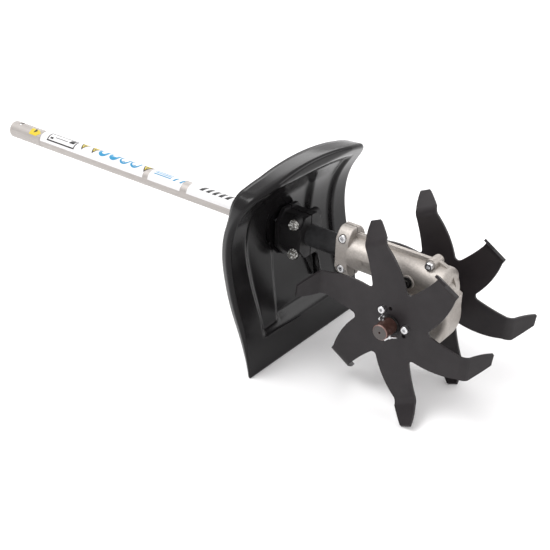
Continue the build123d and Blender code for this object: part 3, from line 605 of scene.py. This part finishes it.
def round_print(blue, white):
    """Two filled discs with a plain white shape on each, and two rings."""
    print_mark("print_discs", [disc(x, ROUND_ARC, 0.0094) for x in DISC_X], blue)
    shapes = [disc(DISC_X[0], ROUND_ARC, 0.0042, 12), bar(-0.504, -0.496, 0.0190, 0.0245)]
    print_mark("print_disc_shapes", shapes, white, 2 * MARK_LIFT)
    rings = []
    for x in RING_X:
        rings += ring_sectors(x, ROUND_ARC, 0.0096, 0.0066)
    rings += [bar(x - 0.003, x + 0.003, 0.0150, 0.0162) for x in RING_X]
    print_mark("print_rings", rings, blue)


def line_print(black, blue):
    """Fine blue lines on the second film and bold slanted bars on the third."""
    fine = [bar(-0.419, -0.388, 0.0140 + k * 0.0032, 0.0155 + k * 0.0032) for k in range(3)]
    fine += [bar(x, x + 0.0035, 0.0130, 0.0200, 0.004) for x in (-0.384, -0.372)]
    print_mark("print_fine_lines", fine, blue)
    bars = [bar(x, x + 0.0062, 0.0136, 0.0230, 0.005) for x in BAR_X]
    print_mark("print_slanted_bars", bars, black)


def insertion_sticker(black, yellow):
    """Small yellow sticker with an arrow on the bare end of the tube."""
    body = [bar(-0.674, -0.658, 0.0068, 0.0182), triangle_right(-0.658, 0.0125, 0.010)]
    arrow = [triangle_right(-0.666, 0.0150, 0.0084)]
    print_mark("insertion_sticker", body, yellow, STICKER_LIFT)
    print_mark("insertion_arrow", arrow, black, STICKER_LIFT + MARK_LIFT)


# ---------------------------------------------------------------- assembly

def paint(node, material):
    """Give every slot of one CAD node the same material."""
    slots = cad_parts[node].data.materials
    for index in range(len(slots)):
        slots[index] = material


def paint_all():
    """Paint all CAD nodes, and return the deflector's material for the pieces modelled here."""
    gloss = gloss_black()
    clamp = satin_black("moulded_satin_black")
    sleeve = satin_black("sleeve_black", (0.016, 0.016, 0.017), 0.45, 0.62)
    rubber = satin_black("seal_rubber", (0.012, 0.011, 0.011), 0.55, 0.75)
    case = cast_aluminium()
    tube = drawn_aluminium()
    film = printed_film("film_white", (0.70, 0.695, 0.70))
    paintwork = black_paint()
    zinc = bright_zinc()
    steel = machined_metal("machined_steel", (0.58, 0.58, 0.59))
    bronze = machined_metal("cut_bronze", (0.60, 0.40, 0.17))
    nylon = satin_black("nylon_bush", (0.30, 0.295, 0.27), 0.4, 0.55)
    by_material = {
        tube: ("drive_tube",),
        film: ("tube_labels",),
        sleeve: ("tube_sleeve",),
        case: ("gear_case_near", "gear_case_far"),
        paintwork: ("tine_wheel_near", "tine_wheel_far", "wheel_hub_near", "wheel_hub_far"),
        clamp: ("guard_clamp_near", "guard_clamp_far"),
        zinc_with_painted_glints(): ("clamp_bolts", "clamp_nuts"),
        zinc: ("case_screws", "guard_screws", "hub_screws_near", "hub_screws_far", "cotter_pin_near",
               "cotter_pin_far"),
        steel: ("drive_shaft", "worm", "case_dowels", "worm_wheel_key", "hub_keys", "worm_bearing_rear",
                "worm_bearing_front", "axle_bearing_near", "axle_bearing_far"),
        bronze: ("worm_wheel",),
        nylon: ("shaft_bushes", "end_bush"),
        rubber: ("axle_seal_near", "axle_seal_far"),
        oxide_axle(): ("axle",),
        black_oxide(): ("grease_plug", "plug_washer", "worm_circlip", "hub_circlips"),
        gloss: ("guard_shell",),
    }
    for material, nodes in by_material.items():
        for node in nodes:
            paint(node, material)
    return gloss


def add_floor():
    bm = bmesh.new()
    corners = ((-1, -1), (1, -1), (1, 1), (-1, 1))
    bm.faces.new([bm.verts.new((FLOOR_HALF * x, FLOOR_HALF * y, FLOOR_Z)) for x, y in corners])
    floor = add_object("studio_floor", bm, floor_paper(), body=None)


def add_light(name, place, target, size, power):
    data = bpy.data.lights.new(name, "AREA")
    data.shape = "RECTANGLE"
    data.size, data.size_y = size
    data.energy = power
    light = bpy.data.objects.new(name, data)
    light.location = place
    aim = Vector(target) - Vector(place)
    light.rotation_euler = aim.to_track_quat("-Z", "Y").to_euler()
    bpy.context.scene.collection.objects.link(light)


def add_studio():
    world = bpy.data.worlds.new("studio")
    world.use_nodes = True
    background = world.node_tree.nodes["Background"]
    background.inputs["Color"].default_value = (1.0, 0.985, 0.99, 1)
    background.inputs["Strength"].default_value = 0.92
    bpy.context.scene.world = world
    overhead = bpy.data.lights.new("overhead", "SUN")
    overhead.energy = 0.55
    overhead.angle = math.radians(75)
    lamp = bpy.data.objects.new("overhead", overhead)
    lamp.rotation_euler = (math.radians(18), math.radians(-14), 0)
    bpy.context.scene.collection.objects.link(lamp)
    add_light("key_softbox", (-0.9, -1.1, 2.2), (0.1, 0, 0.1), (1.4, 1.0), 32)
    add_light("back_softbox", (-1.1, 1.5, 1.35), (-0.1, 0, 0.2), (1.8, 0.9), 13)
    add_light("rim_softbox", (1.6, 1.6, 1.2), (0.1, 0, 0.15), (1.2, 1.0), 10)


def add_camera():
    data = bpy.data.cameras.new("camera")
    data.lens = 66.0
    data.sensor_width = 36.0
    data.clip_start = 0.01
    camera = bpy.data.objects.new("camera", data)
    turn = Matrix.Identity(4)
    for degrees, axis in zip(CAMERA_TURN, "ZXZ"):
        turn = turn @ Matrix.Rotation(math.radians(degrees), 4, axis)
    camera.matrix_world = Matrix.Translation(AXLE + Vector(CAMERA_PLACE)) @ turn
    bpy.context.scene.collection.objects.link(camera)
    bpy.context.scene.camera = camera


def main():
    gloss = paint_all()
    shell = guard_piece(gloss)
    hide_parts("guard_shell")
    guard_rib_piece(gloss)
    black = printed_film("print_black", (0.006, 0.006, 0.006))
    yellow = printed_film("print_yellow", (0.60, 0.46, 0.012))
    blue = printed_film("print_blue", (0.0, 0.22, 0.42))
    white = printed_film("print_white", (0.72, 0.72, 0.72))
    box_print(black)
    warning_print(black, yellow)
    round_print(blue, white)
    line_print(black, blue)
    insertion_sticker(black, yellow)
    add_floor()
    add_studio()
    add_camera()
    bpy.context.scene.view_settings.view_transform = "Standard"


main()
